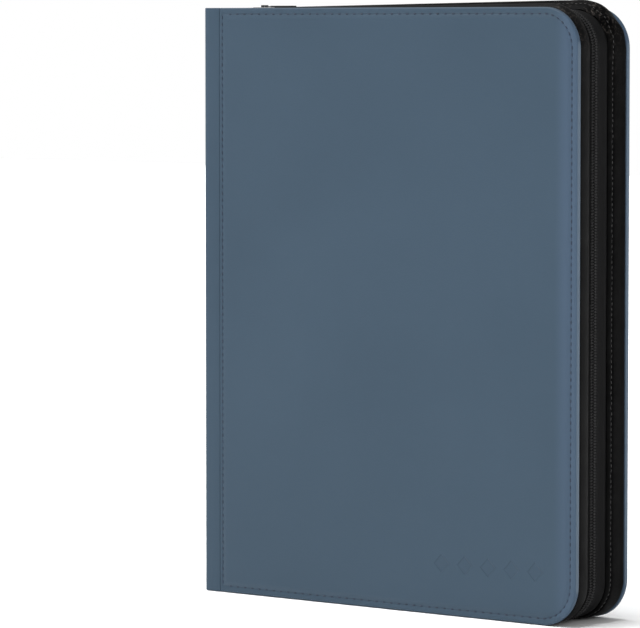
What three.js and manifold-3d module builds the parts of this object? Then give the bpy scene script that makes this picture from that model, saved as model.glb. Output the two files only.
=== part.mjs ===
// Zip-around trading card binder, standing closed on its bottom edges.
// Millimetres, +Z up, +X towards the fore edge, -Y towards the front cover.
// The origin is the middle of the footprint, on the surface that the binder stands on.
import * as THREE from "three";
import { mergeVertices } from "three/addons/utils/BufferGeometryUtils.js";
import Module from "manifold-3d";

// ---- Driving dimensions ----

// Case
const caseHeight = 400;
const caseWidth = 313;
const caseDepth = 59;
const cornerRadius = 27;
const leatherThickness = 1.2;
const boardThickness = 1.8;
const liningThickness = 0.5;
const turnedEdgeRadius = 0.8;
const layerGap = 0.15;
const pieceGap = 0.3;

// Hinges: the leather folds this far from the spine's outer face
const foldFromSpine = 14.3;
const boardFromFold = 4.5;
const spineEdgeRadius = 3;

// Gusset wall and zip, as distances in from the case's outline
const wallInset = 1;
const tapeThickness = 0.7;
const coilHeight = 1.4;
const zipStartFromSpine = 28;

// Gusset wall and zip, as distances back from the front face
const zipCentre = 20.7;
const backGussetStart = 36;
const tapeUnderGusset = 3;
const coilHalfGap = 0.5;
const coilWidth = 3.1;

// Slider and pull
const sliderLength = 13;
const sliderShoulder = 0.6;
const sliderPlate = 1;
const sliderFlange = 0.7;
const sliderClearance = 0.3;
const sliderToGusset = 0.5;
const postHalfWidth = 0.3;
const postLength = 3;
const bailLength = 4.4;
const bailWidth = 2.4;
const bailBar = 0.5;
const bailRoom = 0.9;
const pullWire = 0.6;
const pullLength = 27;
const pullWidth = 5.6;
const pullThickness = 1;
const stopLength = 2.4;

// Pages: a thin welded strip that flexes, then the pockets
const pageCount = 34;
const pageThickness = 0.5;
const pageMargin = 8;
const pageCornerEase = 18;
const flexStrip = 10;
const flexThickness = 0.25;
const flexInset = 2;
const pivotFromFold = 3.95;
const stackSideGap = 0.6;

// ---- Places worked out from them ----

const spineX = -caseWidth / 2;
const foreX = caseWidth / 2;
const frontY = -caseDepth / 2;
const foldX = spineX + foldFromSpine;
const coverThickness = leatherThickness + boardThickness + liningThickness + 2 * layerGap;
const innerHalfDepth = caseDepth / 2 - coverThickness;
const zipStartX = spineX + zipStartFromSpine;
const zipY = frontY + zipCentre;
const tapeInset = wallInset + leatherThickness + pieceGap;
const coilInset = tapeInset - layerGap - coilHeight;
const coilFar = coilHalfGap + coilWidth;
const sliderNarrowHalf = coilFar + sliderClearance + sliderFlange / 2;
const sliderWideHalf = sliderNarrowHalf + sliderShoulder;
const frontGussetEnd = zipCentre - sliderWideHalf - sliderToGusset;
const bindingX = spineX + coverThickness + layerGap;
const pivotX = foldX + pivotFromFold;
const stackHalfDepth = innerHalfDepth - stackSideGap;
const pagePitch = (2 * stackHalfDepth - pageThickness) / (pageCount - 1);
const pageInset = tapeInset + tapeThickness + pageMargin;
const pageWidth = foreX - pageInset - pivotX;
const pageCornerRadius = cornerRadius - pageCornerEase;
const sliderX = zipStartX + sliderLength / 2 + stopLength + pieceGap;

// ---- Materials ----

const finish = (color, roughness, metalness = 0) => ({ color, roughness, metalness });
const blueLeather = finish(0x50647a, 0.55);
const blackLeather = finish(0x1c1c1e, 0.6);
const blackLining = finish(0x161618, 0.85);
const greyBoard = finish(0x8a857c, 0.95);
const blackTape = finish(0x131314, 0.9);
const blackCoil = finish(0x1d1d1f, 0.4);
const blackMetal = finish(0x101012, 0.35, 0.8);
const pagePlastic = finish(0x202226, 0.3);

// ---- Shape helpers ----

const wasm = await Module();
wasm.setup();

function solidOf(geometry) {
  const bare = geometry.clone().deleteAttribute("normal").deleteAttribute("uv");
  const merged = mergeVertices(bare, 1e-4);
  return new wasm.Manifold(
    new wasm.Mesh({
      numProp: 3,
      vertProperties: new Float32Array(merged.attributes.position.array),
      triVerts: new Uint32Array(merged.index.array),
    }),
  );
}

function geometryOf(solid) {
  const mesh = solid.getMesh();
  const geometry = new THREE.BufferGeometry();
  geometry.setAttribute("position", new THREE.BufferAttribute(mesh.vertProperties, 3));
  geometry.setIndex(new THREE.BufferAttribute(mesh.triVerts, 1));
  geometry.computeVertexNormals();
  return geometry;
}

const cut = (whole, tool) => geometryOf(solidOf(whole).subtract(solidOf(tool)));
const join = (...pieces) => geometryOf(pieces.map(solidOf).reduce((a, b) => a.add(b)));

// A box between two corners.
function block([x0, y0, z0], [x1, y1, z1]) {
  const box = new THREE.BoxGeometry(x1 - x0, y1 - y0, z1 - z0);
  return box.translate((x0 + x1) / 2, (y0 + y1) / 2, (z0 + z1) / 2);
}

// A shape drawn in X and Z, given its depth along Y, with its edges rounded when a radius is given.
function extrudeAlongY(shape, y0, y1, edgeRadius = 0, arcSteps = 10) {
  const options = {
    depth: y1 - y0 - 2 * edgeRadius,
    curveSegments: arcSteps,
    bevelEnabled: edgeRadius > 0,
    bevelSize: edgeRadius,
    bevelThickness: edgeRadius,
    bevelOffset: -edgeRadius,
    bevelSegments: 2,
  };
  return new THREE.ExtrudeGeometry(shape, options)
    .rotateX(Math.PI / 2)
    .translate(0, y1 - edgeRadius, 0);
}

// A shape drawn in X and Y, given its height along Z.
function extrudeAlongZ(shape, z0, z1) {
  const options = { depth: z1 - z0, curveSegments: 6, bevelEnabled: false };
  return new THREE.ExtrudeGeometry(shape, options).translate(0, 0, z0);
}

// Draws the top, fore edge and bottom of the case, set in by inset: from the bottom up, or from the top down.
function outerEdge(shape, x0, inset, upwards) {
  const right = foreX - inset;
  const low = inset;
  const high = caseHeight - inset;
  const r = cornerRadius - inset;
  const quarter = Math.PI / 2;
  if (upwards) {
    shape.lineTo(right - r, low);
    shape.absarc(right - r, low + r, r, -quarter, 0, false);
    shape.absarc(right - r, high - r, r, 0, quarter, false);
    shape.lineTo(x0, high);
  } else {
    shape.lineTo(x0, high);
    shape.absarc(right - r, high - r, r, quarter, 0, true);
    shape.absarc(right - r, low + r, r, 0, -quarter, true);
    shape.lineTo(x0, low);
  }
}

// A cover's outline, set in by inset on its three outer sides and starting at x0 on its hinge side.
function coverOutline(x0, inset) {
  const shape = new THREE.Shape();
  shape.moveTo(x0, inset);
  outerEdge(shape, x0, inset, true);
  shape.closePath();
  return shape;
}

// The wall that runs along the top, round the fore edge and back along the bottom, between two insets.
function wallBand(outerInset, innerInset, x0 = zipStartX) {
  const shape = new THREE.Shape();
  shape.moveTo(x0, outerInset);
  outerEdge(shape, x0, outerInset, true);
  outerEdge(shape, x0, innerInset, false);
  shape.closePath();
  return shape;
}

// A channel round the spine, open towards the fore edge, seen from above.
function spineChannel(outer, thickness, x0, x1, radius) {
  const inner = Math.max(radius - thickness, 0.2);
  const left = x0 + thickness;
  const half = outer - thickness;
  const shape = new THREE.Shape();
  shape.moveTo(x1, outer);
  shape.lineTo(x0 + radius, outer);
  shape.absarc(x0 + radius, outer - radius, radius, Math.PI / 2, Math.PI, false);
  shape.lineTo(x0, radius - outer);
  shape.absarc(x0 + radius, radius - outer, radius, Math.PI, 1.5 * Math.PI, false);
  shape.lineTo(x1, -outer);
  shape.lineTo(x1, -half);
  shape.lineTo(left + inner, -half);
  shape.absarc(left + inner, inner - half, inner, 1.5 * Math.PI, Math.PI, true);
  shape.lineTo(left, half - inner);
  shape.absarc(left + inner, half - inner, inner, Math.PI, Math.PI / 2, true);
  shape.lineTo(x1, half);
  shape.closePath();
  return shape;
}

function named(name, geometry, look) {
  const mesh = new THREE.Mesh(geometry, new THREE.MeshStandardMaterial(look));
  mesh.name = name;
  return mesh;
}

// ---- Covers: leather wrapped round a board, lined inside ----

// side is -1 for the front cover and +1 for the back one; depths count in from its outer face.
function cover(side, name) {
  const group = new THREE.Group();
  const span = (from, to) => {
    const a = side * (caseDepth / 2 - from);
    const b = side * (caseDepth / 2 - to);
    return [Math.min(a, b), Math.max(a, b)];
  };
  const hingeX = foldX + layerGap;
  const clear = leatherThickness + layerGap;
  const shell = extrudeAlongY(coverOutline(hingeX, 0), ...span(0, coverThickness), turnedEdgeRadius);
  const pocket = extrudeAlongY(
    coverOutline(hingeX - leatherThickness, leatherThickness),
    ...span(leatherThickness, 2 * coverThickness),
  );
  const board = extrudeAlongY(
    coverOutline(foldX + boardFromFold, clear),
    ...span(clear, clear + boardThickness),
  );
  const lining = extrudeAlongY(
    coverOutline(hingeX + layerGap, clear),
    ...span(coverThickness - liningThickness, coverThickness),
  );
  group.add(named(name + "_cover_leather", cut(shell, pocket), blueLeather));
  group.add(named(name + "_cover_board", board, greyBoard));
  group.add(named(name + "_cover_lining", lining, blackLining));
  return group;
}

// ---- Spine: a channel of leather with a board and a lining ----

function spine() {
  const group = new THREE.Group();
  const boardX = spineX + leatherThickness + layerGap;
  const liningX = boardX + boardThickness + layerGap;
  const liningHalf = caseDepth / 2 - leatherThickness - layerGap;
  const boardHalf = caseDepth / 2 - spineEdgeRadius;
  const boardEnd = leatherThickness;
  const flangeX = foldX - layerGap;
  const leather = spineChannel(caseDepth / 2, leatherThickness, spineX, flangeX, spineEdgeRadius);
  const lining = spineChannel(liningHalf, liningThickness, liningX, flangeX - layerGap, 1);
  group.add(named("spine_leather", extrudeAlongZ(leather, 0, caseHeight), blueLeather));
  group.add(
    named(
      "spine_board",
      block([boardX, -boardHalf, boardEnd], [boardX + boardThickness, boardHalf, caseHeight - boardEnd]),
      greyBoard,
    ),
  );
  group.add(
    named("spine_lining", extrudeAlongZ(lining, boardEnd, caseHeight - boardEnd), blackLining),
  );
  return group;
}

// Leather webs that close the case between the spine and the two ends of the zip.
function spineGussets() {
  const group = new THREE.Group();
  const half = innerHalfDepth - pieceGap;
  const z0 = wallInset;
  const z1 = wallInset + leatherThickness;
  const x1 = zipStartX - pieceGap;
  const low = block([bindingX, -half, z0], [x1, half, z1]);
  const high = block([bindingX, -half, caseHeight - z1], [x1, half, caseHeight - z0]);
  group.add(named("spine_bottom_gusset", low, blueLeather));
  group.add(named("spine_top_gusset", high, blueLeather));
  return group;
}

// ---- Gusset walls and the two halves of the zip ----

function wallAndZip() {
  const group = new THREE.Group();
  const innerFront = -innerHalfDepth + pieceGap;
  const innerBack = innerHalfDepth - pieceGap;
  const gusset = wallBand(wallInset, wallInset + leatherThickness);
  const tape = wallBand(tapeInset, tapeInset + tapeThickness);
  const frontCoilX = sliderX + sliderLength / 2 + pieceGap;
  const frontCoil = wallBand(coilInset, coilInset + coilHeight, frontCoilX);
  const backCoil = wallBand(coilInset, coilInset + coilHeight, zipStartX + stopLength + pieceGap);
  const frontEdge = frontY + frontGussetEnd;
  const backEdge = frontY + backGussetStart;
  const coilNear = coilHalfGap;
  const add = (name, shape, y0, y1, look) =>
    group.add(named(name, extrudeAlongY(shape, y0, y1), look));
  add("front_gusset", gusset, innerFront, frontEdge, blackLeather);
  // The back strip is pieced: its bottom run is a length of its own, seamed where the corner starts.
  const seamX = foreX - cornerRadius;
  const stripTop = wallInset + leatherThickness;
  const bottomRun = block([zipStartX, backEdge, wallInset], [seamX - pieceGap, innerBack, stripTop]);
  const beforeSeam = block(
    [zipStartX - pieceGap, backEdge - pieceGap, wallInset - pieceGap],
    [seamX, innerBack + pieceGap, stripTop + pieceGap],
  );
  group.add(named("back_gusset_bottom", bottomRun, blackLeather));
  group.add(
    named("back_gusset", cut(extrudeAlongY(gusset, backEdge, innerBack), beforeSeam), blackLeather),
  );
  add("front_zip_tape", tape, frontEdge - tapeUnderGusset, zipY - coilNear, blackTape);
  add("back_zip_tape", tape, zipY + coilNear, backEdge + tapeUnderGusset, blackTape);
  add("front_zip_coil", frontCoil, zipY - coilFar, zipY - coilNear, blackCoil);
  add("back_zip_coil", backCoil, zipY + coilNear, zipY + coilFar, blackCoil);
  // A metal stop at each end of the chain, crimped on the back half.
  const stop = (name, z0) =>
    named(
      name,
      block([zipStartX, zipY + coilNear, z0], [zipStartX + stopLength, zipY + coilFar, z0 + coilHeight]),
      blackMetal,
    );
  group.add(stop("zip_bottom_stop", coilInset));
  group.add(stop("zip_top_stop", caseHeight - coilInset - coilHeight));
  return group;
}

// ---- Slider with its bail and pull, at the closed end of the zip ----

// The slider's plan: wide where the two rows part, narrow where they leave joined.
function sliderPlan() {
  const wideX = -sliderLength / 2;
  const narrowX = sliderLength / 2;
  const shape = new THREE.Shape();
  shape.moveTo(wideX, -sliderWideHalf + 1);
  shape.quadraticCurveTo(wideX, -sliderWideHalf, wideX + 1, -sliderWideHalf);
  shape.lineTo(-1, -sliderWideHalf);
  shape.quadraticCurveTo(1, -sliderWideHalf, 2, -sliderNarrowHalf);
  shape.lineTo(narrowX - 1, -sliderNarrowHalf);
  shape.quadraticCurveTo(narrowX, -sliderNarrowHalf, narrowX, -sliderNarrowHalf + 1);
  shape.lineTo(narrowX, sliderNarrowHalf - 1);
  shape.quadraticCurveTo(narrowX, sliderNarrowHalf, narrowX - 1, sliderNarrowHalf);
  shape.lineTo(2, sliderNarrowHalf);
  shape.quadraticCurveTo(1, sliderWideHalf, -1, sliderWideHalf);
  shape.lineTo(wideX + 1, sliderWideHalf);
  shape.quadraticCurveTo(wideX, sliderWideHalf, wideX, sliderWideHalf - 1);
  shape.closePath();
  return shape;
}

function slider() {
  const group = new THREE.Group();
  const plan = sliderPlan();
  const coilTop = caseHeight - coilInset;
  const coilBottom = coilTop - coilHeight;
  const tapeBottom = caseHeight - tapeInset - tapeThickness;
  const upper0 = coilTop + sliderClearance;
  const upper1 = upper0 + sliderPlate;
  const lower1 = tapeBottom - sliderClearance;
  const lower0 = lower1 - sliderPlate;
  const wideX = -sliderLength / 2;
  const flange = (side) => {
    const near = side * (coilFar + sliderClearance);
    const far = side * sliderNarrowHalf;
    const corners = [Math.min(near, far), Math.max(near, far)];
    return block(
      [wideX + 1, corners[0], coilBottom + layerGap],
      [-wideX - 1, corners[1], upper0 + sliderPlate / 2],
    );
  };
  const body = join(
    extrudeAlongZ(plan, upper0, upper1),
    extrudeAlongZ(plan, lower0, lower1),
    block(
      [wideX + 1, -postHalfWidth, lower0 + sliderPlate / 2],
      [wideX + 1 + postLength, postHalfWidth, upper1 - sliderPlate / 2],
    ),
    flange(-1),
    flange(1),
  );
  // The bail is an arch of strip; the pull's wire turns under it.
  const bail0 = upper1 + layerGap;
  const bailTop = bail0 + bailRoom + bailBar;
  const bail = cut(
    block([-bailLength / 2, -bailWidth / 2, bail0], [bailLength / 2, bailWidth / 2, bailTop]),
    block(
      [-bailLength / 2 + 2 * bailBar, -bailWidth, bail0 - 1],
      [bailLength / 2 - 2 * bailBar, bailWidth, bail0 + bailRoom],
    ),
  );
  const pivotZ = bail0 + bailRoom / 2;
  const place = (name, geometry) => {
    const mesh = named(name, geometry, blackMetal);
    mesh.position.set(sliderX, zipY, 0);
    group.add(mesh);
  };
  place("slider_body", body);
  place("slider_bail", bail);
  place("pull_tab", pull().rotateZ(Math.PI).translate(0, 0, pivotZ));
  return group;
}

// The pull along -X from its hinge line: a wire loop at the bail, then a flat tab with a rounded end.
function pull() {
  const half = pullWire / 2;
  const loopInner = bailLength / 2 + pieceGap + 2 * pullWire;
  const windowHalf = bailWidth / 2 + pieceGap;
  const armHalf = windowHalf + pullWire;
  const tabX = sliderLength / 2 + pieceGap;
  const loop = cut(
    block([-tabX - 1, -armHalf, -half], [half, armHalf, half]),
    block([-loopInner, -windowHalf, -pullWire], [-half, windowHalf, pullWire]),
  );
  const tabHalf = pullWidth / 2;
  const tabEnd = -pullLength + tabHalf;
  const outline = new THREE.Shape();
  outline.moveTo(-tabX, -armHalf);
  outline.lineTo(-tabX, armHalf);
  outline.lineTo(-tabX - armHalf, tabHalf);
  outline.lineTo(tabEnd, tabHalf);
  outline.absarc(tabEnd, 0, tabHalf, Math.PI / 2, 1.5 * Math.PI, false);
  outline.lineTo(-tabX - armHalf, -tabHalf);
  outline.closePath();
  return join(loop, extrudeAlongZ(outline, -pullThickness / 2, pullThickness / 2));
}

// ---- Pages and the block that binds their margins ----

function pages() {
  const group = new THREE.Group();
  const z0 = pageInset;
  const z1 = caseHeight - pageInset;
  const binding = block(
    [bindingX, -stackHalfDepth, z0],
    [pivotX - pieceGap, stackHalfDepth, z1],
  );
  group.add(named("page_binding", binding, blackLining));
  const sheet = pageSheet(z0, z1);
  for (let n = 0; n < pageCount; n++) {
    const number = String(n + 1).padStart(2, "0");
    const page = named("page_" + number, sheet.clone(), pagePlastic);
    page.position.set(pivotX, -stackHalfDepth + pageThickness / 2 + n * pagePitch, 0);
    group.add(page);
  }
  return group;
}

// One page about its own hinge line: the flexing strip, then the pockets with rounded free corners.
function pageSheet(z0, z1) {
  const outline = new THREE.Shape();
  const r = pageCornerRadius;
  outline.moveTo(flexStrip, z0);
  outline.lineTo(pageWidth - r, z0);
  outline.absarc(pageWidth - r, z0 + r, r, -Math.PI / 2, 0, false);
  outline.lineTo(pageWidth, z1 - r);
  outline.absarc(pageWidth - r, z1 - r, r, 0, Math.PI / 2, false);
  outline.lineTo(flexStrip, z1);
  outline.closePath();
  const pockets = extrudeAlongY(outline, -pageThickness / 2, pageThickness / 2, 0, 4);
  const strip = block(
    [0, -flexThickness / 2, z0 + flexInset],
    [flexStrip + 1, flexThickness / 2, z1 - flexInset],
  );
  return join(pockets, strip);
}

const binder = new THREE.Group();
binder.add(cover(-1, "front"));
binder.add(cover(1, "back"));
binder.add(spine());
binder.add(spineGussets());
binder.add(wallAndZip());
binder.add(slider());
binder.add(pages());

export default binder;
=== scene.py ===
import math
import random

import bmesh
import bpy
from mathutils import Matrix, Vector


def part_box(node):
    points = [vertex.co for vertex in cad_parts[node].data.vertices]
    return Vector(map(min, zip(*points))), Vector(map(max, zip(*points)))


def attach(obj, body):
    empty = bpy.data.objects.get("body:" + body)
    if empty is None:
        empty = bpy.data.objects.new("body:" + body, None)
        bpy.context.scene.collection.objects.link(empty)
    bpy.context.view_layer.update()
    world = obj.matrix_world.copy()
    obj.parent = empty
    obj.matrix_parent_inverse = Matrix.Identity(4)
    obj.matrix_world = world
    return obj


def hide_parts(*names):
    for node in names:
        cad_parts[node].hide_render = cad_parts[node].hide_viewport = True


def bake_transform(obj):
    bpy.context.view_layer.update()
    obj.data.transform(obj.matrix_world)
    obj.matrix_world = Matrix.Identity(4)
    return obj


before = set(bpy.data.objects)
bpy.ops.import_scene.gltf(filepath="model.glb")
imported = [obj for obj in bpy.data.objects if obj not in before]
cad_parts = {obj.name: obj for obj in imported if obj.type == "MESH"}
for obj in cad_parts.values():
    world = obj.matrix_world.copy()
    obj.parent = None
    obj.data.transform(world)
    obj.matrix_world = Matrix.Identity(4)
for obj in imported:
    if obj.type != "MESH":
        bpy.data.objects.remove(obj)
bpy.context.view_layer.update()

# The floor and the light: a plain white sweep under an even white sky, a broad soft light high on the
# spine side, a weak fill on the fore edge, and an overhead light that falls on the floor alone.
scene = bpy.context.scene
scene.view_settings.view_transform = "Standard"
CAMERA_AT = Vector((1.771, -2.316, 0.388))
CAMERA_YAW = math.radians(38.604)
CAMERA_PITCH = math.radians(-3.781)

world = bpy.data.worlds.new("studio")
scene.world = world
world.use_nodes = True
world.node_tree.nodes["Background"].inputs["Color"].default_value = (1, 1, 1, 1)
SKY_LIGHT = 0.45
seen = world.node_tree.nodes.new("ShaderNodeLightPath")
brightness = world.node_tree.nodes.new("ShaderNodeMapRange")
brightness.inputs["To Min"].default_value = SKY_LIGHT
world.node_tree.links.new(seen.outputs["Is Camera Ray"], brightness.inputs["Value"])
world.node_tree.links.new(brightness.outputs[0], world.node_tree.nodes["Background"].inputs["Strength"])

camera = bpy.data.objects.new("camera", bpy.data.cameras.new("camera"))
scene.collection.objects.link(camera)
camera.data.lens = 245.5
camera.data.sensor_width = 36
camera.data.clip_end = 50
camera.location = CAMERA_AT
looking = Vector((
    -math.sin(CAMERA_YAW) * math.cos(CAMERA_PITCH),
    math.cos(CAMERA_YAW) * math.cos(CAMERA_PITCH),
    math.sin(CAMERA_PITCH),
))
camera.rotation_euler = looking.to_track_quat("-Z", "Y").to_euler()
scene.camera = camera


def soft_light(name, at, width, power):
    """A square softbox that faces the middle of the binder."""
    data = bpy.data.lights.new(name, "AREA")
    data.size = width
    data.energy = power
    light = bpy.data.objects.new(name, data)
    scene.collection.objects.link(light)
    light.location = at
    light.rotation_euler = (Vector((0, 0, 0.2)) - Vector(at)).to_track_quat("-Z", "Y").to_euler()


soft_light("fore_edge_fill", (2.6, -0.5, 1.3), 1.2, 11)
key = bpy.data.objects.new("key", bpy.data.lights.new("key", "SUN"))
key.data.energy = 3.7
key.data.angle = math.radians(58)
key.rotation_euler = Vector((0.45, 0.34, -0.82)).to_track_quat("-Z", "Y").to_euler()
scene.collection.objects.link(key)


def nothing_selected():
    """Leaves edit mode and deselects everything, so that the next operator acts on the new piece alone."""
    if bpy.context.object and bpy.context.object.mode != "OBJECT":
        bpy.ops.object.mode_set(mode="OBJECT")
    bpy.ops.object.select_all(action="DESELECT")


nothing_selected()
bpy.ops.mesh.primitive_plane_add(size=14, location=(0, 0, -0.0004))
floor = bpy.context.object
floor.name = "floor"


class Finish:
    """A socket of one material, with Python's operators standing for its Math nodes."""

    def __init__(self, tree, socket):
        self.tree = tree
        self.socket = socket

    def make(self, kind, settings=None, sockets=None, out=0):
        """Any node: its settings are set first, then the values or links of its sockets."""
        node = self.tree.nodes.new(kind)
        for key, value in (settings or {}).items():
            setattr(node, key, value)
        for key, value in (sockets or {}).items():
            if isinstance(value, Finish):
                self.tree.links.new(value.socket, node.inputs[key])
            else:
                node.inputs[key].default_value = value
        return Finish(self.tree, node.outputs[out])

    def math(self, operation, *values):
        return self.make("ShaderNodeMath", {"operation": operation}, dict(enumerate(values)))

    def __add__(self, other):
        return self.math("ADD", self, other)

    def __radd__(self, other):
        return self.math("ADD", other, self)

    def __sub__(self, other):
        return self.math("SUBTRACT", self, other)

    def __rsub__(self, other):
        return self.math("SUBTRACT", other, self)

    def __mul__(self, other):
        return self.math("MULTIPLY", self, other)

    def __rmul__(self, other):
        return self.math("MULTIPLY", other, self)

    def __truediv__(self, other):
        return self.math("DIVIDE", self, other)

    def step(self, start, end):
        """0 before start and 1 after end, with a smooth way between."""
        return self.make("ShaderNodeMapRange", {"interpolation_type": "SMOOTHSTEP"},
                         {"Value": self, "From Min": start, "From Max": end})

    def between(self, a, b):
        """Colour a where this value is 0 and colour b where it is 1."""
        a = a if isinstance(a, Finish) else (*a, 1)
        b = b if isinstance(b, Finish) else (*b, 1)
        return self.make("ShaderNodeMix", {"data_type": "RGBA"}, {0: self, 6: a, 7: b}, out=2)

    def noise(self, where, scale, detail=3, roughness=0.5):
        return self.make("ShaderNodeTexNoise", None,
                         {"Vector": where, "Scale": scale, "Detail": detail, "Roughness": roughness})


def finish(name, roughness, **fixed):
    """A new material: its Principled node, a Finish to build on, and the object's own coordinates."""
    material = bpy.data.materials.new(name)
    material.use_nodes = True
    tree = material.node_tree
    shader = tree.nodes["Principled BSDF"]
    shader.inputs["Roughness"].default_value = roughness
    for key, value in fixed.items():
        shader.inputs[key.replace("_", " ")].default_value = value
    start = Finish(tree, None)
    return material, shader, start, start.make("ShaderNodeTexCoord", out=3)


def feed(shader, socket, value):
    shader.id_data.links.new(value.socket, shader.inputs[socket])


def mottled(shader, start, place, scale, dark, light):
    """A base colour that drifts between two tones."""
    feed(shader, "Base Color", start.noise(place, scale).step(0.3, 0.7).between(dark, light))


def bump(shader, start, height, strength, distance):
    """A height in 0 to 1 becomes relief of the given depth in metres."""
    feed(shader, "Normal", start.make("ShaderNodeBump", None,
                                      {"Height": height, "Strength": strength, "Distance": distance}))


floor_finish, shader, start, place = finish("white_sweep", 0.9)
mottled(shader, start, place, 3, (0.955, 0.955, 0.955), (0.97, 0.97, 0.97))
floor.data.materials.append(floor_finish)
overhead = bpy.data.objects.new("overhead", bpy.data.lights.new("overhead", "SUN"))
overhead.data.energy = 1.3
overhead.data.angle = math.radians(12)
scene.collection.objects.link(overhead)
floor_only = bpy.data.collections.new("floor_only")
floor_only.objects.link(floor)
overhead.light_linking.receiver_collection = floor_only

# The two covers: board wrapped in smooth blue-grey leatherette, the edges turned in and sewn down all
# round with dark blue thread. The leatherette is pressed down along the seam and stands up beside it.
FORE_SEAM = 0.0047
EDGE_SEAM = 0.0043
HINGE_SEAM = 0.0022
COVER_CORNER = 0.027
TURNED_EDGE = 0.0011
SEAM_WIDTH = 0.0009
SEAM_DEPTH = 0.0003
STITCH_PITCH = 0.0046
LONG_PITCH = 0.0063
STITCH_LENGTH = 0.0028
STITCH_THICKNESS = 0.0009
POCKET_RIM = 0.0012
LEATHER = 0.0012
MARK_CENTRE = (0.086, 0.034)
MARK_PITCH = 0.019
MARK_SIZE = 0.0065

cover_lo, cover_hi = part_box("front_cover_leather")


def leatherette():
    """Smooth coated leatherette: very fine pebbles and faint cloudiness, with a painted highlight band and a
    painted highlight line along the fore edge, and painted shade towards the bottom.
    """
    material, shader, start, place = finish("cover_leatherette", 0.5, Specular_IOR_Level=0.22)
    split = start.make("ShaderNodeSeparateXYZ", None, {"Vector": place})
    x, z = split, Finish(split.tree, split.socket.node.outputs[2])
    cloud = start.noise(place, 9, 2).step(0.25, 0.8)
    colour = cloud.between((0.0330, 0.0592, 0.0892), (0.0369, 0.0648, 0.0970))
    # Painted highlight: a lighter band along the fore edge of each cover.
    painted_edge_highlight_band = x.step(cover_hi.x - 0.019, cover_hi.x - 0.009)
    # Painted shade: the leatherette is darker towards the bottom.
    low = 1 - z.step(0.0, 0.26)
    colour = (painted_edge_highlight_band * 0.62).between(colour, (0.0525, 0.0855, 0.1370))
    colour = (low * 0.30).between(colour, (0.0270, 0.0490, 0.0720))
    # Painted highlight: a pale line along the very fore edge of each cover.
    painted_edge_highlight_line = x.step(cover_hi.x - 0.0006, cover_hi.x - 0.0001)
    colour = (painted_edge_highlight_line * 0.45).between(colour, (0.128, 0.171, 0.214))
    feed(shader, "Roughness", 0.47 + start.noise(place, 60, 2) * 0.10)
    pebbles = start.make("ShaderNodeTexVoronoi", {"feature": "F1"}, {"Vector": place, "Scale": 1500.0})
    u = (x - MARK_CENTRE[0]) / MARK_PITCH + 2.5
    along = (u.math("FRACT", u) - 0.5) * MARK_PITCH
    lozenge = along.math("ABSOLUTE", along) + (z - MARK_CENTRE[1]).math("ABSOLUTE", z - MARK_CENTRE[1])
    y = Finish(split.tree, split.socket.node.outputs[1])
    on_front = 1 - y.step(cover_lo.y + 0.001, cover_lo.y + 0.002)
    inside = (1 - lozenge.step(MARK_SIZE - 0.0009, MARK_SIZE)) * u.step(0, 0.01) * (1 - u.step(4.99, 5))
    inside = inside * on_front
    # Painted shade: the pressed lozenges of the mark are darker inside.
    feed(shader, "Base Color", (inside * 0.22).between(colour, (0.028, 0.050, 0.078)))
    bump(shader, start, pebbles * 0.07 + start.noise(place, 700, 2) * 0.17 - inside, 0.7, 0.0006)
    return material


blue_leather = leatherette()
thread_finish, shader, start, place = finish("sewing_thread", 0.65)
mottled(shader, start, place, 900, (0.003, 0.011, 0.030), (0.007, 0.021, 0.052))
twist = start.make("ShaderNodeTexWave", {"wave_type": "BANDS", "bands_direction": "DIAGONAL"},
                   {"Vector": place, "Scale": 900.0})
bump(shader, start, twist, 0.5, 0.00008)


def edge_at(edge, x=None, z=None, y=None, slack=0.00002):
    """True where both ends of an edge lie in the stated plane or planes."""
    return all(
        wanted is None or all(abs(v.co[axis] - wanted) < slack for v in edge.verts)
        for axis, wanted in ((0, x), (1, y), (2, z))
    )


def pick(piece, chosen, kind="faces"):
    """Selects the faces, edges or verts that chosen accepts, and stays in edit mode in that select mode."""
    if bpy.context.object is not piece or piece.mode != "EDIT":
        nothing_selected()
        bpy.context.view_layer.objects.active = piece
        piece.select_set(True)
        bpy.ops.object.mode_set(mode="EDIT")
    bpy.ops.mesh.select_mode(type={"faces": "FACE", "edges": "EDGE", "verts": "VERT"}[kind])
    bpy.ops.mesh.select_all(action="DESELECT")
    mesh = bmesh.from_edit_mesh(piece.data)
    found = [part for part in getattr(mesh, kind) if chosen(part)]
    for part in found:
        part.select_set(True)
    mesh.select_flush_mode()
    bmesh.update_edit_mesh(piece.data)
    return found


def block(name, lo, hi):
    """A block between two corners, with its place in its mesh."""
    nothing_selected()
    bpy.ops.mesh.primitive_cube_add(size=1, location=(Vector(lo) + Vector(hi)) / 2)
    piece = bpy.context.object
    piece.name = name
    piece.scale = Vector(hi) - Vector(lo)
    bpy.ops.object.transform_apply(location=True, rotation=True, scale=True)
    return piece


def done(piece, body, material, smooth=35):
    """The usual end of a piece: smooth where it bends little, its finish and its body."""
    nothing_selected()
    bpy.context.view_layer.objects.active = piece
    piece.select_set(True)
    bpy.ops.object.shade_smooth_by_angle(angle=math.radians(smooth))
    piece.data.materials.clear()
    piece.data.materials.append(material)
    if body:
        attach(piece, body)
    nothing_selected()
    return piece


def repeated(name, model, places):
    """One mesh of many copies of a small modelled piece, and the model itself is removed."""
    gathered = bmesh.new()
    for turn in places:
        first = len(gathered.verts)
        gathered.from_mesh(model.data)
        gathered.verts.ensure_lookup_table()
        for v in gathered.verts[first:]:
            v.co = turn @ v.co
    mesh = bpy.data.meshes.new(name)
    gathered.to_mesh(mesh)
    gathered.free()
    bpy.data.objects.remove(model)
    piece = bpy.data.objects.new(name, mesh)
    scene.collection.objects.link(piece)
    return piece


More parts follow.
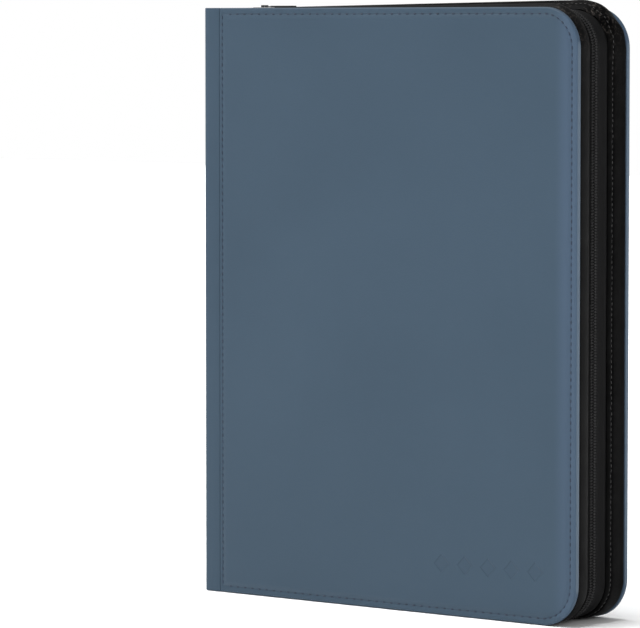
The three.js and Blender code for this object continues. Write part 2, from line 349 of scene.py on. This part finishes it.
def rounded_run(x0, x1, z0, z1, radius, pitch, long_pitch):
    """Places and directions of stitches from the spine side, round the two fore corners and back.
    The pitch is long_pitch along the bottom and the top, and pitch round the fore edge."""
    centre_x = x1 - radius
    straight = centre_x - x0
    arc = radius * math.pi / 2
    height = z1 - z0 - 2 * radius
    bend = 2 * arc + height
    runs = []
    for first, length, spacing in ((0, straight, long_pitch), (straight, bend, pitch),
                                   (straight + bend, straight, long_pitch)):
        count = int(length / spacing)
        runs += [first + (k + 0.5) * length / count for k in range(count)]
    for s in runs:
        if s < straight:
            yield Vector((x0 + s, z0)), 0.0
        elif s < straight + arc:
            a = (s - straight) / radius
            yield Vector((centre_x + radius * math.sin(a), z0 + radius - radius * math.cos(a))), a
        elif s < straight + arc + height:
            yield Vector((x1, z0 + radius + s - straight - arc)), math.pi / 2
        elif s < straight + 2 * arc + height:
            a = (s - straight - arc - height) / radius
            at = Vector((centre_x + radius * math.cos(a), z1 - radius + radius * math.sin(a)))
            yield at, math.pi / 2 + a
        else:
            yield Vector((centre_x - (s - straight - 2 * arc - height), z1)), math.pi


def stitch(name, length, thickness):
    """One sewn stitch along X: a short thread that dips into the leather at both ends."""
    nothing_selected()
    bpy.ops.mesh.primitive_uv_sphere_add(segments=6, ring_count=6, radius=0.5)
    piece = bpy.context.object
    piece.name = name
    bpy.ops.object.mode_set(mode="EDIT")
    bpy.ops.mesh.select_all(action="SELECT")
    bpy.ops.transform.resize(value=(length, thickness * 1.3, thickness), center_override=(0, 0, 0))
    bpy.ops.object.mode_set(mode="OBJECT")
    bpy.ops.object.transform_apply(location=True, rotation=True, scale=True)
    return piece


def cover(side):
    """side is -1 for the front cover and 1 for the back cover."""
    name = "front" if side < 0 else "back"
    lo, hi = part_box(name + "_cover_leather")
    outer = lo.y if side < 0 else hi.y
    inner = hi.y if side < 0 else lo.y
    board = block(name + "_cover", lo, hi)
    pick(board, lambda e: edge_at(e, x=hi.x, z=lo.z) or edge_at(e, x=hi.x, z=hi.z), "edges")
    bpy.ops.mesh.bevel(offset=COVER_CORNER, segments=18, profile=0.5)
    pick(board, lambda e: (edge_at(e, y=outer) or edge_at(e, y=inner)) and not edge_at(e, x=lo.x), "edges")
    bpy.ops.mesh.bevel(offset=TURNED_EDGE, segments=4, profile=0.5)
    # The outer face, drawn in to the seam: the seam's valley, then the flat panel.
    pick(board, lambda f: f.normal.y * side > 0.99 and f.calc_area() > 0.02)
    bpy.ops.mesh.inset(thickness=EDGE_SEAM - TURNED_EDGE - SEAM_WIDTH / 2, depth=0)
    middle = bmesh.from_edit_mesh(board.data)
    shift = FORE_SEAM - EDGE_SEAM
    for face in [f for f in middle.faces if f.select]:
        for v in face.verts:
            along = (v.co.x - lo.x) / (hi.x - lo.x)
            v.co.x -= shift * along
            if v.co.x < lo.x + 0.01:
                v.co.x = lo.x + HINGE_SEAM - SEAM_WIDTH / 2
    bmesh.update_edit_mesh(board.data)
    bpy.ops.mesh.inset(thickness=SEAM_WIDTH * 0.5, depth=-SEAM_DEPTH)
    bpy.ops.mesh.inset(thickness=SEAM_WIDTH * 0.5, depth=SEAM_DEPTH * 0.9)
    bpy.ops.mesh.inset(thickness=0.004, depth=0.00008)
    # The inner face: the turned-in rim round the pocket for the board and the lining.
    pick(board, lambda f: f.normal.y * side < -0.99 and f.calc_area() > 0.02)
    bpy.ops.mesh.inset(thickness=POCKET_RIM - 0.0002, depth=0)
    pocket = side * (abs(outer - inner) - LEATHER)
    bpy.ops.mesh.extrude_region_move(TRANSFORM_OT_translate={"value": (0, pocket, 0)})
    bpy.ops.object.mode_set(mode="OBJECT")
    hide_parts(name + "_cover_leather")
    done(board, name, blue_leather, 40)

    height = outer - side * SEAM_DEPTH * 0.5
    places = []
    for at, angle in rounded_run(lo.x + 0.006, hi.x - FORE_SEAM, lo.z + EDGE_SEAM, hi.z - EDGE_SEAM, 0.0225,
                                 STITCH_PITCH, LONG_PITCH):
        wobble = random.Random(len(places)).uniform(-0.02, 0.02)
        places.append(Matrix.Translation((at.x, height, at.y)) @ Matrix.Rotation(-angle + wobble, 4, "Y"))
    count = int((hi.z - lo.z - 2 * EDGE_SEAM) / STITCH_PITCH)
    for k in range(count):
        z = lo.z + EDGE_SEAM + (k + 0.5) * (hi.z - lo.z - 2 * EDGE_SEAM) / count
        upright = Matrix.Rotation(math.pi / 2, 4, "Y")
        places.append(Matrix.Translation((lo.x + HINGE_SEAM, height, z)) @ upright)
    turned = [p @ Matrix.Rotation(math.pi / 2, 4, "X") for p in places]
    seam = repeated(name + "_cover_stitches", stitch("stitch", STITCH_LENGTH, STITCH_THICKNESS), turned)
    done(seam, name, thread_finish, 60)


cover(-1)
cover(1)

# The boards and linings inside the covers and the spine: grey binder's board, and thin black woven
# cloth pasted over it. They show only when the binder lies open.
board_finish, shader, start, place = finish("binders_board", 0.85)
flecks = start.noise(place, 420, 5, 0.7)
feed(shader, "Base Color", flecks.step(0.35, 0.7).between((0.30, 0.28, 0.25), (0.50, 0.47, 0.42)))
bump(shader, start, flecks, 0.3, 0.0002)


def woven(name, dark, light, pitch, depth):
    """Plain weave: two crossed sets of threads that pass over each other in turn."""
    material, shader, start, place = finish(name, 0.8)
    split = start.make("ShaderNodeSeparateXYZ", None, {"Vector": place})
    across, up = split, Finish(split.tree, split.socket.node.outputs[2])
    per = 2 * math.pi / pitch
    warp = across.math("SINE", across * per)
    weft = up.math("SINE", up * per)
    weave = warp * weft * 0.5 + 0.5
    tone = start.noise(place, 240, 3).step(0.3, 0.75)
    feed(shader, "Base Color", (weave * 0.6 + tone * 0.4).between(dark, light))
    feed(shader, "Roughness", 0.9 - weave * 0.18)
    bump(shader, start, weave + start.noise(place, 1800, 2) * 0.4, 0.6, depth)
    return material


lining_finish = woven("black_lining_cloth", (0.012, 0.012, 0.014), (0.042, 0.042, 0.046), 0.0011, 0.00015)
for node, material in (
    ("front_cover_board", board_finish), ("back_cover_board", board_finish), ("spine_board", board_finish),
    ("front_cover_lining", lining_finish), ("back_cover_lining", lining_finish),
    ("spine_lining", lining_finish),
):
    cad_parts[node].data.materials.clear()
    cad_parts[node].data.materials.append(material)

# The spine: one piece of the same leatherette bent round the spine board, with a rounded edge towards each
# cover.
spine_lo, spine_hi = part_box("spine_leather")
SPINE_EDGE = 0.003
spine = block("spine", spine_lo, spine_hi)
pick(spine, lambda f: f.normal.x > 0.9 or abs(f.normal.z) > 0.9)
bpy.ops.mesh.delete(type="FACE")
pick(spine, lambda e: edge_at(e, x=spine_lo.x) and abs(e.verts[0].co.y - e.verts[1].co.y) < 0.0001, "edges")
bpy.ops.mesh.bevel(offset=SPINE_EDGE, segments=8, profile=0.5)
pick(spine, lambda f: True)
bpy.ops.mesh.bisect(plane_co=(0, 0, 0.002), plane_no=(0, 0, 1), use_fill=False)
pick(spine, lambda f: True)
bpy.ops.mesh.bisect(plane_co=(0, 0, spine_hi.z - 0.002), plane_no=(0, 0, 1), use_fill=False)
bpy.ops.object.mode_set(mode="OBJECT")
nothing_selected()
bpy.context.view_layer.objects.active = spine
spine.select_set(True)
bpy.ops.object.mode_set(mode="EDIT")
bpy.ops.mesh.select_all(action="SELECT")
bpy.ops.mesh.remove_doubles(threshold=0.00001)
bpy.ops.mesh.normals_make_consistent(inside=False)
bpy.ops.object.mode_set(mode="OBJECT")
thickness = spine.modifiers.new("thickness", "SOLIDIFY")
thickness.thickness = LEATHER
thickness.offset = -1
bpy.ops.object.modifier_apply(modifier=thickness.name)
rounding = spine.modifiers.new("rounding", "BEVEL")
rounding.width = 0.00045
rounding.segments = 3
rounding.limit_method = "ANGLE"
rounding.angle_limit = math.radians(50)
bpy.ops.object.modifier_apply(modifier=rounding.name)
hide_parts("spine_leather")
done(spine, "spine", blue_leather, 40)

# The ends of the spine: the leatherette is turned over the ends of the spine board, top and bottom, so
# that no raw board shows.
END_SETBACK = 0.0001
END_THICKNESS = 0.0008
END_GAP = 0.0002
for name, low in (("top", spine_hi.z - END_SETBACK - END_THICKNESS), ("bottom", spine_lo.z + END_SETBACK)):
    turn_in = block(
        "spine_" + name + "_turn_in",
        (spine_lo.x + LEATHER * 0.9, spine_lo.y + LEATHER * 0.9, low),
        (spine_hi.x - END_GAP, spine_hi.y - LEATHER * 0.9, low + END_THICKNESS),
    )
    pick(turn_in, lambda f: abs(f.normal.z) > 0.9)
    bpy.ops.mesh.inset(thickness=0.0012, depth=0)
    bpy.ops.mesh.inset(thickness=0.0020, depth=-0.00012)
    bpy.ops.object.mode_set(mode="OBJECT")
    done(turn_in, "spine", blue_leather, 40)

# The hinges: strips of the black lining cloth behind each fold that join the spine to the two covers.
HINGE_HALF = 0.0085
HINGE_THICKNESS = 0.0005
fold_x = spine_hi.x + 0.00015
for name, side in (("front", -1), ("back", 1)):
    outer = side * spine_hi.y
    depth = outer - side * (LEATHER + 0.0018)
    nothing_selected()
    bpy.ops.mesh.primitive_grid_add(x_subdivisions=24, y_subdivisions=2, size=1, location=(0, 0, 0))
    strip = bpy.context.object
    strip.name = name + "_hinge_strip"
    middle = spine_hi.z / 2
    for v in strip.data.vertices:
        v.co = (fold_x + v.co.x * 2 * HINGE_HALF, depth, middle + v.co.y * (spine_hi.z - 0.003))
    body_thickness = strip.modifiers.new("thickness", "SOLIDIFY")
    body_thickness.thickness = HINGE_THICKNESS
    body_thickness.offset = 0
    bpy.context.view_layer.objects.active = strip
    bpy.ops.object.modifier_apply(modifier=body_thickness.name)
    done(strip, None, lining_finish, 60)
    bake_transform(strip)

# The gussets: the wall between the covers, black leatherette strips sewn along the zip tapes. They run
# along the bottom, round the fore edge and back along the top, and they stand a little proud there.
WALL_INSET = 0.0010
WALL_SHEET = 0.0011
front_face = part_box("front_cover_leather")[0].y
top = cover_hi.z
fore = cover_hi.x
CORNER_X = fore - COVER_CORNER
WALL_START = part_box("back_zip_tape")[0].x
STRAIGHT = CORNER_X - WALL_START
RUN_HEIGHT = top - 2 * COVER_CORNER


def along_wall(s, inset):
    """Where the wall is at run s, 0 to 1 from the bottom's spine end round to the top's, at an inset."""
    radius = COVER_CORNER - inset
    arc = math.pi / 2 * COVER_CORNER
    total = 2 * STRAIGHT + 2 * arc + RUN_HEIGHT
    d = s * total
    if d < STRAIGHT:
        return Vector((WALL_START + d, inset)), Vector((0, -1))
    if d < STRAIGHT + arc:
        a = (d - STRAIGHT) / COVER_CORNER
        out = Vector((math.sin(a), -math.cos(a)))
        return Vector((CORNER_X, COVER_CORNER)) + out * radius, out
    if d < STRAIGHT + arc + RUN_HEIGHT:
        return Vector((fore - inset, COVER_CORNER + d - STRAIGHT - arc)), Vector((1, 0))
    if d < STRAIGHT + 2 * arc + RUN_HEIGHT:
        a = (d - STRAIGHT - arc - RUN_HEIGHT) / COVER_CORNER
        out = Vector((math.cos(a), math.sin(a)))
        return Vector((CORNER_X, top - COVER_CORNER)) + out * radius, out
    return Vector((CORNER_X - (d - STRAIGHT - 2 * arc - RUN_HEIGHT), top - inset)), Vector((0, 1))


WALL_RUN = 2 * STRAIGHT + math.pi * COVER_CORNER + RUN_HEIGHT
TOP_CORNER = (STRAIGHT + math.pi * 0.75 * COVER_CORNER + RUN_HEIGHT) / WALL_RUN
BOTTOM_CORNER = (STRAIGHT + math.pi * 0.25 * COVER_CORNER) / WALL_RUN
TOP_START = (STRAIGHT + math.pi * COVER_CORNER + RUN_HEIGHT) / WALL_RUN


def near(s, centre, reach):
    return math.exp(-((s - centre) * WALL_RUN / reach) ** 2)


def held(out, inset, rise):
    """A rise that stays inside the covers' edges, except along the top, where the wall stands proud."""
    return min(rise, inset - 0.0002 + 0.007 * max(0.0, out.y) ** 2)


def wall_strip(name, near_depth, far_depth, base_inset, profile, steps, rows, thickness, s0=0.0, s1=1.0):
    """A strip wrapped round the wall. profile(s, depth) raises it from its inset. Its UV map is in metres."""
    nothing_selected()
    bpy.ops.mesh.primitive_grid_add(x_subdivisions=steps, y_subdivisions=rows, size=1, calc_uvs=True)
    strip = bpy.context.object
    strip.name = name
    uv = strip.data.uv_layers[0]
    wear = strip.data.attributes.new("wear", "FLOAT", "POINT")
    flat = []
    for v in strip.data.vertices:
        s = s0 + (v.co.x + 0.5) * (s1 - s0)
        depth = near_depth + (v.co.y + 0.5) * (far_depth - near_depth)
        flat.append((s, depth))
        at, out = along_wall(s, base_inset)
        rise = held(out, base_inset, profile(s, depth))
        at = at + out * rise
        v.co = (at.x, front_face + depth, at.y)
        scuffed = near(s, TOP_CORNER + 0.008, 0.018) + 0.12 * near(s, TOP_CORNER - 0.02, 0.06)
        wear.data[v.index].value = scuffed
    for loop in strip.data.loops:
        s, depth = flat[loop.vertex_index]
        uv.data[loop.index].uv = (s * WALL_RUN, depth)
    nothing_selected()
    bpy.context.view_layer.objects.active = strip
    strip.select_set(True)
    bpy.ops.object.mode_set(mode="EDIT")
    bpy.ops.mesh.select_all(action="SELECT")
    bpy.ops.mesh.normals_make_consistent(inside=False)
    bpy.ops.object.mode_set(mode="OBJECT")
    outermost = max(strip.data.polygons, key=lambda face: face.center.x)
    if outermost.normal.x < 0:
        strip.data.flip_normals()
    sheet = strip.modifiers.new("thickness", "SOLIDIFY")
    sheet.thickness = thickness
    sheet.offset = -1
    bpy.ops.object.modifier_apply(modifier=sheet.name)
    return strip


def gusset_leather(name, dark, light, gloss):
    """Black leatherette: fine pebbles, a soft shine, and scuffed grey patches on the worn corner."""
    material, shader, start, place = finish(name, 0.46, Specular_IOR_Level=gloss)
    worn = start.make("ShaderNodeAttribute", {"attribute_name": "wear"}, out=2)
    scratches = start.make(
        "ShaderNodeTexNoise", None,
        {"Vector": place, "Scale": 260.0, "Detail": 5.0, "Roughness": 0.75, "Distortion": 1.5},
    )
    scuff = worn * scratches.step(0.50, 0.72)
    colour = start.noise(place, 70, 3).step(0.3, 0.7).between(dark, light)
    feed(shader, "Base Color", scuff.between(colour, (0.070, 0.062, 0.056)))
    feed(shader, "Roughness", 0.40 + start.noise(place, 110, 3) * 0.16 + scuff * 0.2)
    pebbles = start.make("ShaderNodeTexVoronoi", {"feature": "SMOOTH_F1"}, {"Vector": place, "Scale": 950.0})
    bump(shader, start, pebbles * 0.35 + start.noise(place, 180, 4) * 0.6, 0.6, 0.00022)
    return material


# The back gusset is a darker, less shiny copy of the front one: painted shade for the strip that is turned
# away from the light.
front_leather = gusset_leather(
    "front_gusset_leatherette", (0.0026, 0.0026, 0.0028), (0.0048, 0.0048, 0.0050), 0.05)
back_leather_painted_shade = gusset_leather(
    "back_gusset_painted_shade", (0.0012, 0.0012, 0.0013), (0.0026, 0.0026, 0.0027), 0.02)


def rolled(depth, near_edge, far_edge, reach, drop):
    """How far a strip falls away at its two long edges, where it is turned under."""
    a = min(depth - near_edge, far_edge - depth)
    return 0 if a >= reach else -drop * (1 - a / reach) ** 2


def standing(s):
    """The wall stands proud of the covers along the top, most towards the fore corner, and not below."""
    if s < TOP_CORNER - 0.03:
        return 0.0
    to_corner = max(0.0, 1 - max(0.0, s - TOP_START) * WALL_RUN / STRAIGHT)
    rise = 0.0008 + 0.0042 * to_corner
    return rise * min(1.0, max(0.0, (s - TOP_CORNER + 0.03) / 0.05))


FRONT_STRIP = (0.0041, 0.0153)
BACK_STRIP = (0.0358, 0.0549)
GUSSET_SEAM = 0.0402
ripple = random.Random(4)
ripples = [(ripple.uniform(0, 6.28), ripple.uniform(180, 420), ripple.uniform(0.4, 1)) for _ in range(5)]


def front_profile(s, depth):
    crown = math.sin(math.pi * (depth - FRONT_STRIP[0]) / (FRONT_STRIP[1] - FRONT_STRIP[0]))
    folds = sum(k * math.sin(p + f * s * WALL_RUN) for p, f, k in ripples) / 5
    corner = near(s, TOP_CORNER, 0.020) + 0.5 * near(s, BOTTOM_CORNER, 0.020)
    flat_on_floor = 1.0 if s > BOTTOM_CORNER - 0.02 else 0.3
    return (0.0006 * crown * flat_on_floor + standing(s) * 0.55 * crown
            + 0.00022 * folds * (0.25 + corner) + rolled(depth, *FRONT_STRIP, 0.0016, 0.0011))


def back_profile(s, depth):
    crown = math.sin(math.pi * (depth - BACK_STRIP[0]) / (BACK_STRIP[1] - BACK_STRIP[0]))
    d = s * WALL_RUN
    puckered = math.exp(-((depth - GUSSET_SEAM) / 0.0032) ** 2)
    gather = sum(k * math.sin(p + 3.4 * f * d + 90 * depth) for p, f, k in ripples) / 5
    corner = near(s, TOP_CORNER, 0.024) + 0.4 * near(s, BOTTOM_CORNER, 0.022)
    wide_folds = math.sin(d * 420 + 260 * depth) * 0.0004 * corner
    flat_on_floor = 1.0 if s > BOTTOM_CORNER - 0.02 else 0.2
    seam = -0.0006 * math.exp(-((depth - GUSSET_SEAM) / 0.0009) ** 2)
    return (0.0008 * crown * flat_on_floor + standing(s) * crown + 0.00035 * gather * puckered * flat_on_floor
            + wide_folds + seam + rolled(depth, *BACK_STRIP, 0.0018, 0.0005)
            + 0.0007 * math.exp(-((BACK_STRIP[1] - depth) / 0.004) ** 2))


front_wall = wall_strip("front_gusset_strip", *FRONT_STRIP, WALL_INSET, front_profile, 760, 14, WALL_SHEET)
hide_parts("front_gusset")
done(front_wall, "front", front_leather, 60)
back_wall = wall_strip("back_gusset_strip", *BACK_STRIP, WALL_INSET, back_profile, 900, 34, WALL_SHEET)
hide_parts("back_gusset", "back_gusset_bottom")
done(back_wall, "back", back_leather_painted_shade, 60)

# The seam that holds the back gusset to the zip tape: dark grey thread, sewn close and a little uneven.
gusset_thread, shader, start, place = finish("gusset_thread", 0.6)
mottled(shader, start, place, 700, (0.022, 0.022, 0.024), (0.060, 0.058, 0.056))
bump(shader, start, start.noise(place, 2500, 2), 0.4, 0.00005)
WALL_STITCH_PITCH = 0.0034
uneven = random.Random(11)
sewn = []
for k in range(int(WALL_RUN / WALL_STITCH_PITCH)):
    s = (k + 0.5) * WALL_STITCH_PITCH / WALL_RUN
    depth = GUSSET_SEAM + uneven.uniform(-0.00025, 0.00025)
    at, out = along_wall(s, WALL_INSET)
    at = at + out * held(out, WALL_INSET, back_profile(s, depth) + 0.00008)
    ahead = along_wall(min(1, s + 0.0005), WALL_INSET)[0] - along_wall(max(0, s - 0.0005), WALL_INSET)[0]
    ahead.normalize()
    turn = Matrix((
        (ahead.x, 0, out.x, at.x),
        (0, 1, 0, front_face + depth),
        (ahead.y, 0, out.y, at.y),
        (0, 0, 0, 1),
    ))
    sewn.append(turn @ Matrix.Rotation(uneven.uniform(-0.25, 0.25), 4, "Z"))
wall_seam = repeated("back_gusset_stitches", stitch("stitch", 0.0023, 0.0004), sewn)
done(wall_seam, "back", gusset_thread, 60)

# The zip tapes: black woven polyester, one sewn to each gusset, that meet under the coil.
tape_lo, tape_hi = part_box("back_zip_tape")
zip_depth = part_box("back_zip_coil")[0].y - 0.0005 - front_face
TAPE_INSET = 0.0025
TAPE_SHEET = 0.0006


def tape_weave():
    """Twill on the tape's own map: fine ribs along the zip, with a slight slant."""
    material, shader, start, place = finish("zip_tape_twill", 0.75, Specular_IOR_Level=0.08)
    run = start.make("ShaderNodeUVMap", {"uv_map": "UVMap"})
    split = start.make("ShaderNodeSeparateXYZ", None, {"Vector": run})
    along, across = split, Finish(split.tree, split.socket.node.outputs[1])
    rib = across.math("SINE", across * (2 * math.pi / 0.0009) + along * (2 * math.pi / 0.0016))
    cross = along.math("SINE", along * (2 * math.pi / 0.0006))
    weave = rib * 0.35 + cross * 0.15 + 0.5
    feed(shader, "Base Color", weave.between((0.0024, 0.0024, 0.0026), (0.0078, 0.0078, 0.0082)))
    feed(shader, "Roughness", 0.85 - weave * 0.2)
    bump(shader, start, weave, 0.6, 0.00015)
    return material


tape_finish = tape_weave()


def tape_profile(s, depth):
    """The tape rises a little where it leaves the gusset and lies flat under the coil."""
    return 0.0007 * math.exp(-((depth - 0.0335) / 0.003) ** 2)


for name, a, b in (
    ("front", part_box("front_zip_tape")[0].y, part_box("front_zip_tape")[1].y),
    ("back", tape_lo.y, tape_hi.y),
):
    tape = wall_strip(
        name + "_tape", a - front_face, b - front_face, TAPE_INSET, tape_profile, 520, 16, TAPE_SHEET)
    tape.data.uv_layers[0].name = "UVMap"
    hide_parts(name + "_zip_tape")
    done(tape, name, tape_finish, 60)

# The coil: two rows of bent nylon loops, sewn to the tapes, that lock into each other and are closed
# all the way to the slider.
COIL_PITCH = 0.0019
LOOP_WIDTH = 0.0031
COIL_INSET = 0.00166
COIL_GAP = 0.0004
LOOP_WIRE = 0.00027
LOOP_REACH = 0.00040
chain_thread, shader, start, place = finish("coil_thread", 0.65, Specular_IOR_Level=0.2)
mottled(shader, start, place, 700, (0.008, 0.008, 0.009), (0.024, 0.024, 0.025))
coil_finish, shader, start, place = finish("black_nylon", 0.3, Specular_IOR_Level=0.3)
mottled(shader, start, place, 500, (0.004, 0.004, 0.0045), (0.013, 0.013, 0.014))
feed(shader, "Roughness", 0.26 + start.noise(place, 900) * 0.2)
slider_lo, slider_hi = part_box("slider_body")


def coil_loop():
    """One turn of the coil: a flattened ring of nylon wire, wide across the zip."""
    nothing_selected()
    bpy.ops.mesh.primitive_torus_add(major_segments=10, minor_segments=5, major_radius=LOOP_REACH,
                                     minor_radius=LOOP_WIRE)
    ring = bpy.context.object
    ring.name = "loop"
    bpy.ops.object.mode_set(mode="EDIT")
    bpy.ops.mesh.select_all(action="SELECT")
    widening = LOOP_WIDTH / (2 * (LOOP_REACH + LOOP_WIRE))
    bpy.ops.transform.resize(value=(1.0, widening, 1.0), center_override=(0, 0, 0))
    bpy.ops.object.mode_set(mode="OBJECT")
    return ring


for name, side in (("front", -1), ("back", 1)):
    start_x = (slider_hi.x if side < 0 else slider_lo.x) + 0.0006
    places = []
    count = int(WALL_RUN / COIL_PITCH)
    for k in range(count):
        s = (k + (0.25 if side < 0 else 0.75)) / count
        at, out = along_wall(s, COIL_INSET)
        if at.x < start_x and s > 0.5:
            continue
        if s < 0.5 and at.x < WALL_START + 0.0028:
            continue
        before, after = along_wall(max(0, s - 0.0005), COIL_INSET), along_wall(min(1, s + 0.0005), COIL_INSET)
        ahead = (after[0] - before[0]).normalized()
        depth = front_face + zip_depth + side * (LOOP_WIDTH / 2 + COIL_GAP)
        turn = Matrix((
            (ahead.x, 0, out.x, at.x), (0, 1, 0, depth), (ahead.y, 0, out.y, at.y), (0, 0, 0, 1),
        ))
        places.append(turn @ Matrix.Rotation(side * 0.10, 4, "Z"))
    row = repeated(name + "_coil", coil_loop(), places)
    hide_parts(name + "_zip_coil")
    done(row, name, coil_finish, 60)
    # The heads meet in the middle, and a dark chain stitch holds the back of each loop to its tape.
    lift = Matrix.Translation((0, 0, 0.00030))
    along_y = Matrix.Rotation(math.pi / 2, 4, "Z")
    to_middle = Matrix.Translation((0, -side * (LOOP_WIDTH / 2 - 0.0005), 0))
    heads = [p @ to_middle @ lift @ along_y for p in places]
    head_row = repeated(name + "_coil_heads", stitch("head", 0.0009, 0.0007), heads)
    done(head_row, name, coil_finish, 60)
    bound = [p @ Matrix.Translation((0, side * 0.0011, 0)) @ lift for p in places]
    chain = repeated(name + "_coil_stitches", stitch("chain", 0.0010, 0.0006), bound)
    done(chain, name, chain_thread, 60)

# The slider, its bail, the pull and the two end stops: zinc castings in black enamel, worn to a warmer tone
# in scattered spots.
enamel, shader, start, place = finish(
    "black_enamel", 0.34, Metallic=0.35, Coat_Weight=0.3, Coat_Roughness=0.25)
spots = start.noise(place, 320, 4)
feed(shader, "Base Color", spots.step(0.55, 0.8).between((0.014, 0.014, 0.015), (0.045, 0.043, 0.040)))
feed(shader, "Roughness", 0.28 + start.noise(place, 200) * 0.2)
bump(shader, start, start.noise(place, 900, 3), 0.35, 0.00006)
for node in ("slider_body", "slider_bail", "pull_tab", "zip_top_stop", "zip_bottom_stop"):
    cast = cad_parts[node]
    cast.data.materials.clear()
    cast.data.materials.append(enamel)

# The webs at the two ends of the spine, of the cover's leatherette, and the block of welded page
# margins glued to the spine.
for node in ("spine_top_gusset", "spine_bottom_gusset"):
    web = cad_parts[node]
    web.data.materials.clear()
    web.data.materials.append(blue_leather)
margins, shader, start, place = finish("welded_margins", 0.4)
split = start.make("ShaderNodeSeparateXYZ", None, {"Vector": place})
layer = Finish(split.tree, split.socket.node.outputs[1])
sheets = layer.math("SINE", layer * (2 * math.pi / 0.001506)) * 0.5 + 0.5
feed(shader, "Base Color", sheets.between((0.006, 0.006, 0.007), (0.032, 0.032, 0.034)))
bump(shader, start, sheets + start.noise(place, 300) * 0.2, 0.7, 0.0003)
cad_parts["page_binding"].data.materials.clear()
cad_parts["page_binding"].data.materials.append(margins)

# The pages: a black sheet with four by four clear pockets welded to each face, and a thinner strip that runs
# to the binding.
FLEX_STRIP = 0.010
POCKETS = 4
WELD = 0.0024
POCKET_RISE = 0.00012
PAGE_CORNER = 0.009
page_finish, shader, start, place = finish("clear_pocket_sheet", 0.16, Coat_Weight=0.6, Coat_Roughness=0.08)
welded = start.make("ShaderNodeAttribute", {"attribute_name": "weld"}, out=2)
sheet_tone = start.noise(place, 26, 4).step(0.35, 0.7).between((0.012, 0.012, 0.014), (0.026, 0.026, 0.030))
feed(shader, "Base Color", welded.between(sheet_tone, (0.060, 0.062, 0.068)))
feed(shader, "Roughness", 0.14 + start.noise(place, 40, 3) * 0.14 + welded * 0.35)
bump(shader, start, start.noise(place, 55, 3), 0.25, 0.0004)


def page_model():
    """The first page, at its own place: the plate, its flex strip, then the pockets on both faces."""
    lo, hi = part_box("page_01")
    plate_lo = Vector((lo.x + FLEX_STRIP, lo.y + POCKET_RISE, lo.z))
    plate_hi = Vector((hi.x, hi.y - POCKET_RISE, hi.z))
    page = block("page", plate_lo, plate_hi)
    pick(page, lambda e: edge_at(e, x=plate_hi.x, z=plate_lo.z)
         or edge_at(e, x=plate_hi.x, z=plate_hi.z), "edges")
    bpy.ops.mesh.bevel(offset=PAGE_CORNER, segments=5, profile=0.5)
    pick(page, lambda f: f.normal.x < -0.99)
    bpy.ops.mesh.extrude_region_move(TRANSFORM_OT_translate={"value": (-FLEX_STRIP, 0, 0)})
    margin = Vector((0.0016, 0, 0.0022))
    left = plate_lo.x + margin.x
    low = plate_lo.z + margin.z
    wide = (plate_hi.x - plate_lo.x - 2 * margin.x) / POCKETS
    tall = (plate_hi.z - plate_lo.z - 2 * margin.z) / POCKETS
    for k in range(POCKETS + 1):
        pick(page, lambda f: True)
        bpy.ops.mesh.bisect(plane_co=(left + k * wide, 0, 0), plane_no=(1, 0, 0))
        pick(page, lambda f: True)
        bpy.ops.mesh.bisect(plane_co=(0, 0, low + k * tall), plane_no=(0, 0, 1))
    pick(page, lambda f: abs(f.normal.y) > 0.99 and f.calc_area() > 0.6 * wide * tall
         and f.calc_center_median().x > left)
    bpy.ops.mesh.inset(thickness=WELD / 2, depth=0, use_individual=True)
    bpy.ops.mesh.inset(thickness=0.0008, depth=POCKET_RISE, use_individual=True)
    bpy.ops.mesh.inset(thickness=0.0006, depth=0, use_individual=True)
    bpy.ops.object.mode_set(mode="OBJECT")
    # The film of a pocket is clear and smooth; the pressed lines between the pockets are matt and paler.
    weld = page.data.attributes.new("weld", "FLOAT", "POINT")
    for v in page.data.vertices:
        on_film = abs(abs(v.co.y - (lo.y + hi.y) / 2) - (hi.y - lo.y) / 2) < 0.00002
        weld.data[v.index].value = 0.0 if on_film else 1.0
    return page


first_page = page_model()
first_y = (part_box("page_01")[0].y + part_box("page_01")[1].y) / 2
page_nodes = sorted(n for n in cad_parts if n.startswith("page_") and n != "page_binding")
for node in page_nodes:
    sheet = bpy.data.objects.new("pocket_" + node, first_page.data.copy())
    scene.collection.objects.link(sheet)
    lo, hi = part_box(node)
    sheet.data.transform(Matrix.Translation((0, (lo.y + hi.y) / 2 - first_y, 0)))
    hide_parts(node)
    done(sheet, node, page_finish, 40)
bpy.data.objects.remove(first_page)
